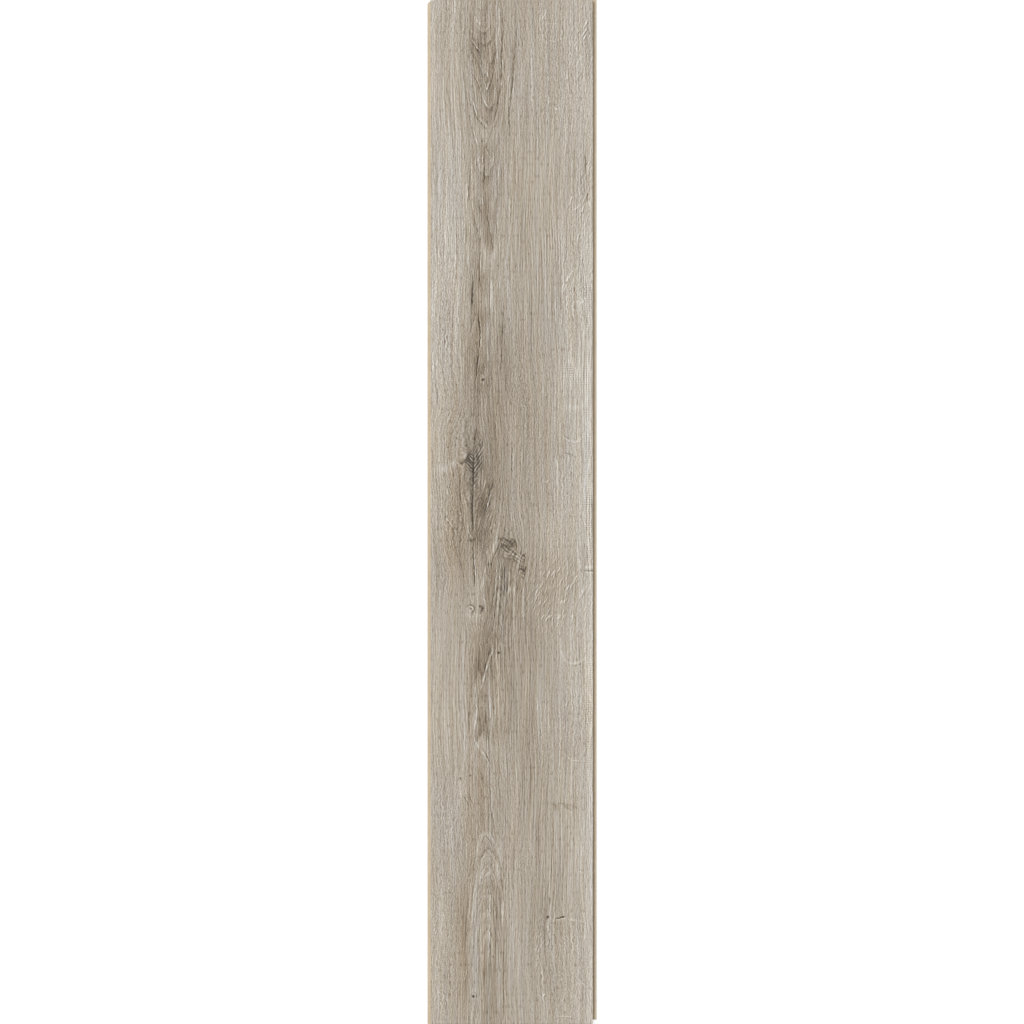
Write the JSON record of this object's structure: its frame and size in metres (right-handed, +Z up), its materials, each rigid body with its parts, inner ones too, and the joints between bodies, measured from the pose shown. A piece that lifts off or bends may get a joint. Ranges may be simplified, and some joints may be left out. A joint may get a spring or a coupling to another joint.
{
  "type": "laminate floor plank",
  "caption": "Rectangular laminate floor plank with a grey oak decor face and a glueless locking tongue-and-groove joint milled on all four edges, for a floating floor.",
  "frame": {"origin": "on the underside, below the middle of the decor face (joint plane to joint plane both ways)", "axes": "+Z up out of the decor face; +Y along the board, towards the end with the groove; +X across the board, towards the long edge with the groove"},
  "size_m": [0.1982, 1.2081, 0.008],
  "materials": {
    "laminate": "matt embossed grey oak decor on brown fibreboard"
  },
  "bodies": {
    "root": {"plank": "laminate"}
  },
  "joints": []
}
